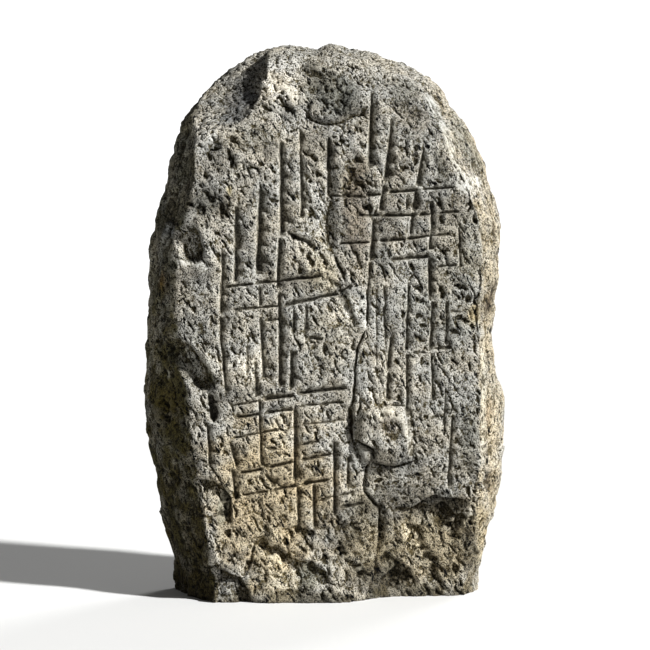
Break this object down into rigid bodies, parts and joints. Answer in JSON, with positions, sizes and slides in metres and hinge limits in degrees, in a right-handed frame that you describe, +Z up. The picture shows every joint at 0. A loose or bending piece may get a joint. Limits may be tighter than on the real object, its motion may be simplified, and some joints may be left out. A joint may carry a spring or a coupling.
{
  "type": "rune stone",
  "caption": "Free-standing slab of rough rock with rows of straight strokes carved in its front face, cut off flat underneath.",
  "frame": {"origin": "on the ground, in the flat underside, below the middle of the stone", "axes": "+Z up, -Y out of the carved front face, +X to the right as seen from the front"},
  "size_m": [0.7973, 0.3488, 1.2029],
  "materials": {
    "rough_stone": "rough, weathered and pitted, with lichen and dirt"
  },
  "bodies": {
    "root": {"rune_stone": "rough_stone"}
  },
  "joints": []
}
